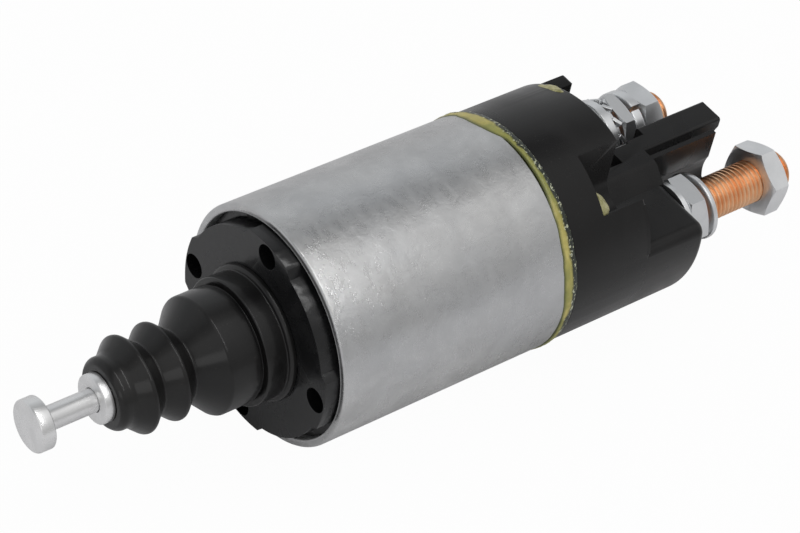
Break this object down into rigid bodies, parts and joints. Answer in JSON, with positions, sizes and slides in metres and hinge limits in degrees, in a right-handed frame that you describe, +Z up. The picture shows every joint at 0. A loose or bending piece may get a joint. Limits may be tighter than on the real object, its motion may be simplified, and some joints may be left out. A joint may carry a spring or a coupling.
{
  "type": "starter solenoid",
  "caption": "Round starter solenoid with a rubber-booted plunger and link rod in front, a four-ear mounting face and a moulded cap with two copper studs.",
  "frame": {"origin": "centre of the mounting flange's front face, on the plunger's axis", "axes": "+X along the plunger's axis towards the terminals, +Z up with the flat of the terminal tower on top, and the two terminal studs side by side along Y"},
  "size_m": [0.2307, 0.0664, 0.0664],
  "materials": {
    "can_zinc": "bright zinc plate",
    "black_steel": "black coated steel",
    "brass_sleeve": "drawn brass",
    "bobbin_nylon": "natural nylon",
    "winding_copper": "enamelled copper wire",
    "core_steel": "soft iron, turned",
    "boot_rubber": "satin black rubber",
    "spring_steel": "spring steel",
    "rod_zinc": "bright zinc plate",
    "stud_copper": "bare copper",
    "insulator_plastic": "phenolic",
    "gasket_rubber": "black rubber",
    "cap_plastic": "black moulding",
    "nut_zinc": "bright zinc plate",
    "sealant": "cured sealant"
  },
  "bodies": {
    "housing": {"can": "can_zinc", "flange_plate": "black_steel", "plunger_sleeve": "brass_sleeve", "bobbin": "bobbin_nylon", "pull_in_winding": "winding_copper", "hold_in_winding": "winding_copper", "core": "core_steel", "boot": "boot_rubber", "return_spring": "spring_steel", "contact_return_spring": "spring_steel", "cap_gasket": "gasket_rubber", "terminal_cap": "cap_plastic", "cap_screws": "nut_zinc", "screw_sealant": "sealant", "joint_sealant": "sealant", "battery_stud": "stud_copper", "motor_stud": "stud_copper", "control_stud": "nut_zinc", "battery_washer": "nut_zinc", "battery_base_nut": "nut_zinc", "battery_lock_washer": "nut_zinc", "battery_outer_nut": "nut_zinc", "motor_washer": "nut_zinc", "motor_flat_washer": "nut_zinc", "motor_toothed_washer": "nut_zinc", "motor_base_nut": "nut_zinc", "motor_lock_washer": "nut_zinc", "motor_outer_nut": "nut_zinc", "control_washer": "nut_zinc", "control_nut": "nut_zinc"},
    "plunger": {"plunger": "core_steel", "guide_tube": "rod_zinc", "drive_spring": "spring_steel"},
    "link": {"link_rod": "rod_zinc"},
    "contact": {"contact_rod": "core_steel", "contact_bridge": "stud_copper", "front_insulator": "insulator_plastic", "rear_insulator": "insulator_plastic", "contact_clip": "spring_steel", "contact_spring": "spring_steel"}
  },
  "joints": [
    {"name": "plunger_slide", "type": "slide", "parent": "housing", "child": "plunger", "axis": [1, 0, 0], "range_m": [0, 0.012], "stiffness_N_per_m": 1200, "springref_m": -0.008, "deforming": ["boot", "return_spring"]},
    {"name": "link_slide", "type": "slide", "parent": "plunger", "child": "link", "axis": [-1, 0, 0], "range_m": [0, 0.006], "stiffness_N_per_m": 4000, "springref_m": -0.004, "deforming": ["drive_spring"]},
    {"name": "contact_slide", "type": "slide", "parent": "housing", "child": "contact", "axis": [1, 0, 0], "range_m": [0, 0.003], "deforming": ["contact_return_spring"]}
  ],
  "couplings": [
    {"joint": "contact_slide", "follows": "plunger_slide", "ratio": 0.25}
  ]
}
